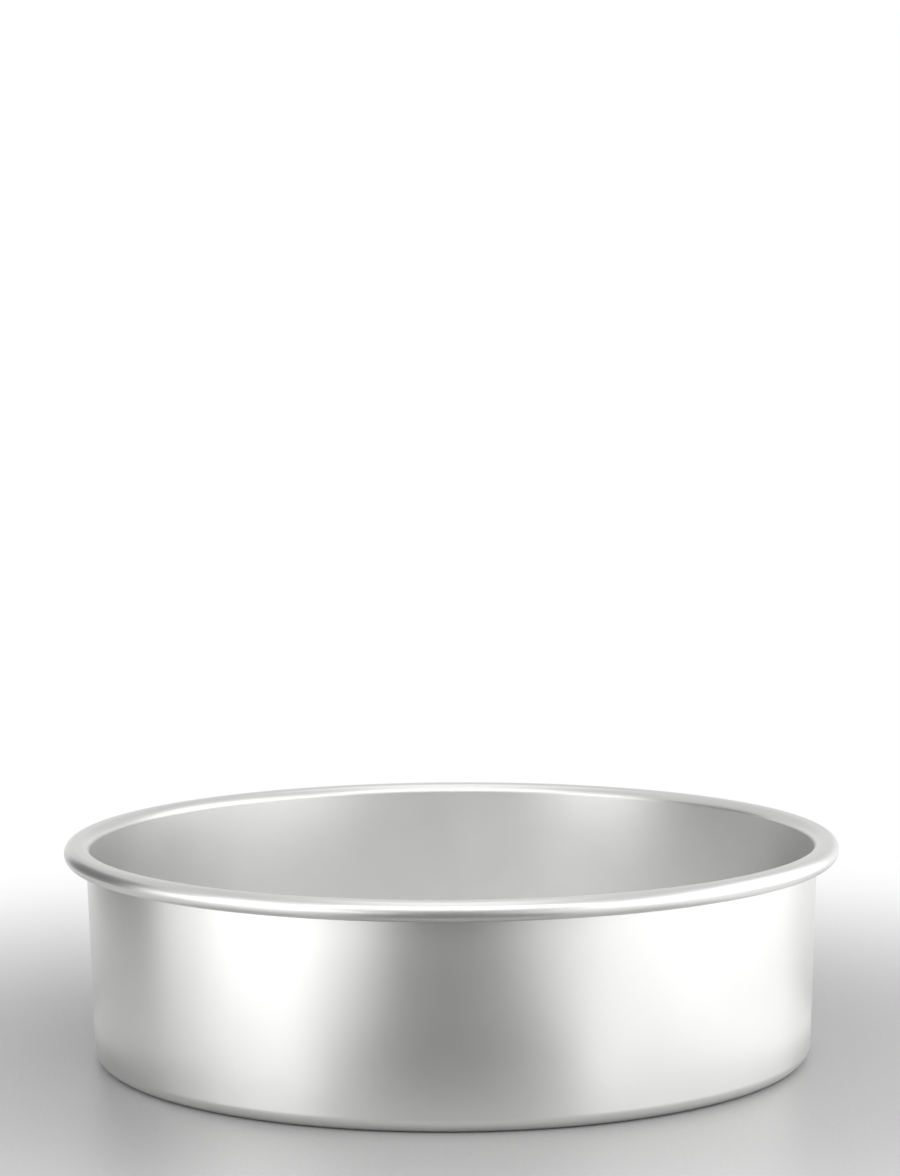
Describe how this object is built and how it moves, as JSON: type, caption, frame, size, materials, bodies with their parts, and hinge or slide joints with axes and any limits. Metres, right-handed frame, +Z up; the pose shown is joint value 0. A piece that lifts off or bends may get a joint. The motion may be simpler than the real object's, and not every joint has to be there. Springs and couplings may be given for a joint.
{
  "type": "round cake tin",
  "caption": "Deep round cake tin in satin aluminium, with a slightly leaning seamless wall, a hollow rolled rim and a loose base that lifts out upward to release the cake.",
  "frame": {"origin": "centre of the circle that the tin stands on, on the plane of the table", "axes": "+Z up along the tin's axis, out of its mouth; the tin is round, so X and Y are any two directions at right angles"},
  "size_m": [0.2716, 0.2716, 0.0762],
  "materials": {
    "tin": "satin anodised",
    "base": "satin anodised"
  },
  "bodies": {
    "tin": {"tin_body": "tin"},
    "base": {"loose_base": "base"}
  },
  "joints": [
    {"name": "base_lift", "type": "slide", "parent": "tin", "child": "base", "axis": [0, 0, 1], "range_m": [0, 0.085]}
  ]
}
